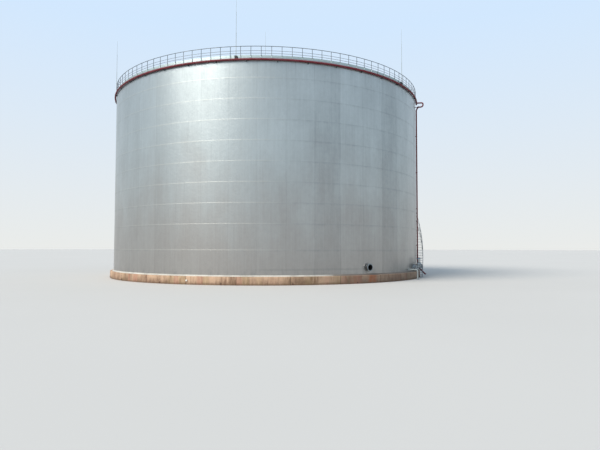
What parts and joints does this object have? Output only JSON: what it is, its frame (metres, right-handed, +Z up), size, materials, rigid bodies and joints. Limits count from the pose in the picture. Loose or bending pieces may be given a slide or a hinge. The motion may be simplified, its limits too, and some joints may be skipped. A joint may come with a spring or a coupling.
{
  "type": "vertical storage tank",
  "caption": "Round upright steel storage tank with a dome roof, rim railing, cooling ring pipe, spiral stair, nozzles with gate valves and an open manway, on a concrete ring wall.",
  "frame": {"origin": "on the tank's axis at the flat underside of the foundation, which is ground level", "axes": "+Z up along the tank's axis, -Y outward through the open manway near the foot of the shell"},
  "size_m": [39.1798, 38.7836, 32.4373],
  "materials": {
    "shell_paint": "aluminium paint, weathered in upright bands and streaks, with level weld seams",
    "roof_paint": "pale aluminium paint, dusty",
    "rail_steel": "grey-blue paint, slightly worn",
    "red_paint": "dark red gloss paint, faded and chalky in places",
    "grey_paint": "aluminium paint on pipes and valves",
    "stair_paint": "grey paint, worn on the treads",
    "skirt_paint": "pale sealed sheet at the foot of the shell",
    "blue_paint": "blue gloss paint",
    "dark_paint": "dark grey paint",
    "concrete": "tan concrete with rust stains and upright joints",
    "packed_fill": "packed sand and gravel"
  },
  "bodies": {
    "root": {"ring_wall": "concrete", "foundation_fill": "packed_fill", "bottom_plate": "shell_paint", "seal_skirt": "skirt_paint", "shell_segment_1": "shell_paint", "shell_segment_2": "shell_paint", "shell_segment_3": "shell_paint", "shell_segment_4": "shell_paint", "shell_segment_5": "shell_paint", "shell_segment_6": "shell_paint", "shell_segment_7": "shell_paint", "shell_segment_8": "shell_paint", "shell_segment_9": "shell_paint", "shell_strip_over_manway": "shell_paint", "manway_insert_plate": "shell_paint", "manway_neck": "grey_paint", "manway_pad": "shell_paint", "curb_bar": "shell_paint", "roof_gore_1": "roof_paint", "roof_gore_2": "roof_paint", "roof_gore_3": "roof_paint", "roof_gore_4": "roof_paint", "roof_gore_5": "roof_paint", "roof_gore_6": "roof_paint", "roof_crown": "roof_paint", "rim_railing_1": "rail_steel", "rim_railing_2": "rail_steel", "rim_railing_3": "rail_steel", "rim_railing_4": "rail_steel", "rim_railing_5": "rail_steel", "rim_railing_6": "rail_steel", "cooling_ring_pipe_1": "red_paint", "cooling_ring_pipe_2": "red_paint", "riser_pipe_1": "red_paint", "riser_pipe_2": "red_paint", "product_nozzle_1": "grey_paint", "gate_valve_1": "grey_paint", "handwheel_1": "blue_paint", "product_nozzle_2": "grey_paint", "gate_valve_2": "grey_paint", "handwheel_2": "dark_paint", "small_nozzle": "grey_paint", "small_valve": "grey_paint", "drain_pipe": "grey_paint", "stair_flight_1": "stair_paint", "stair_flight_2": "stair_paint", "stair_flight_3": "stair_paint", "stair_rail_1": "stair_paint", "stair_rail_2": "stair_paint", "stair_rail_3": "stair_paint", "stair_landing_1": "stair_paint", "stair_landing_2": "stair_paint", "stair_head_platform": "stair_paint"}
  },
  "joints": []
}
